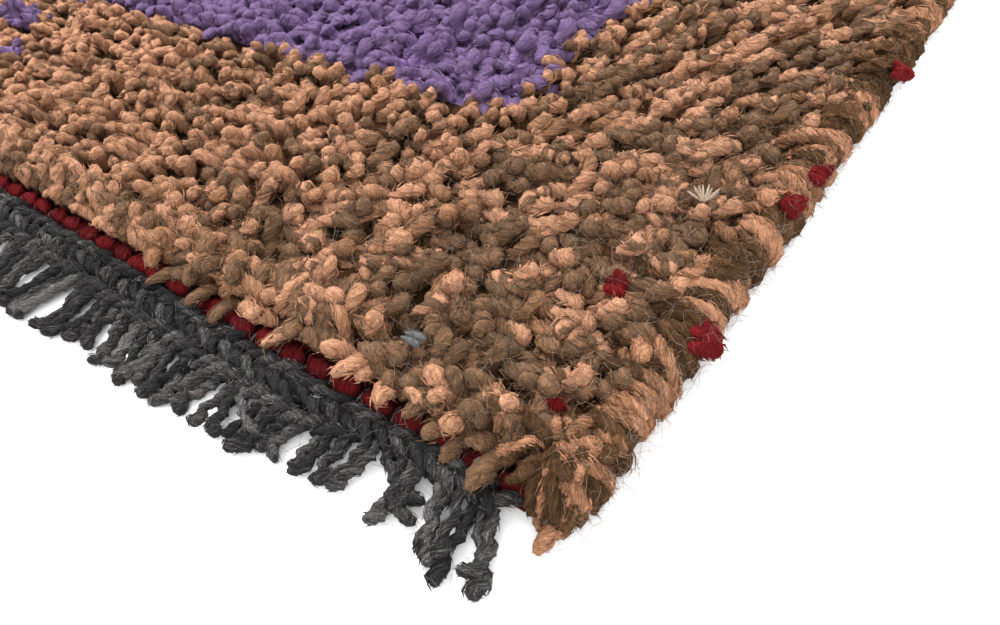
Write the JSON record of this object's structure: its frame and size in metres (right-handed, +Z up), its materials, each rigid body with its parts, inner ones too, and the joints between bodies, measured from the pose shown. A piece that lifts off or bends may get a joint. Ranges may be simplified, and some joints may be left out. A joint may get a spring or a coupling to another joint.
{
  "type": "nepalese rug",
  "caption": "Small hand-knotted wool rug with thick ridged pile, overcast side cords, plaited end bands and short fringe, lying flat.",
  "frame": {"origin": "middle of the rug's box, on the floor under it", "axes": "+X across the rug along the knot rows, +Y along its length, +Z up"},
  "size_m": [0.8, 1.2834, 0.016],
  "materials": {
    "pile_wool": "hand-spun wool pile, peach and olive-brown mixed, with a purple field",
    "cord_wool": "hairy wool yarn, wrapped",
    "grey_wool": "charcoal grey two-ply yarn, plaited"
  },
  "bodies": {
    "root": {"rug_body": "pile_wool", "side_cord_left": "cord_wool", "side_cord_right": "cord_wool", "end_band_front": "grey_wool", "end_band_back": "grey_wool"}
  },
  "joints": []
}
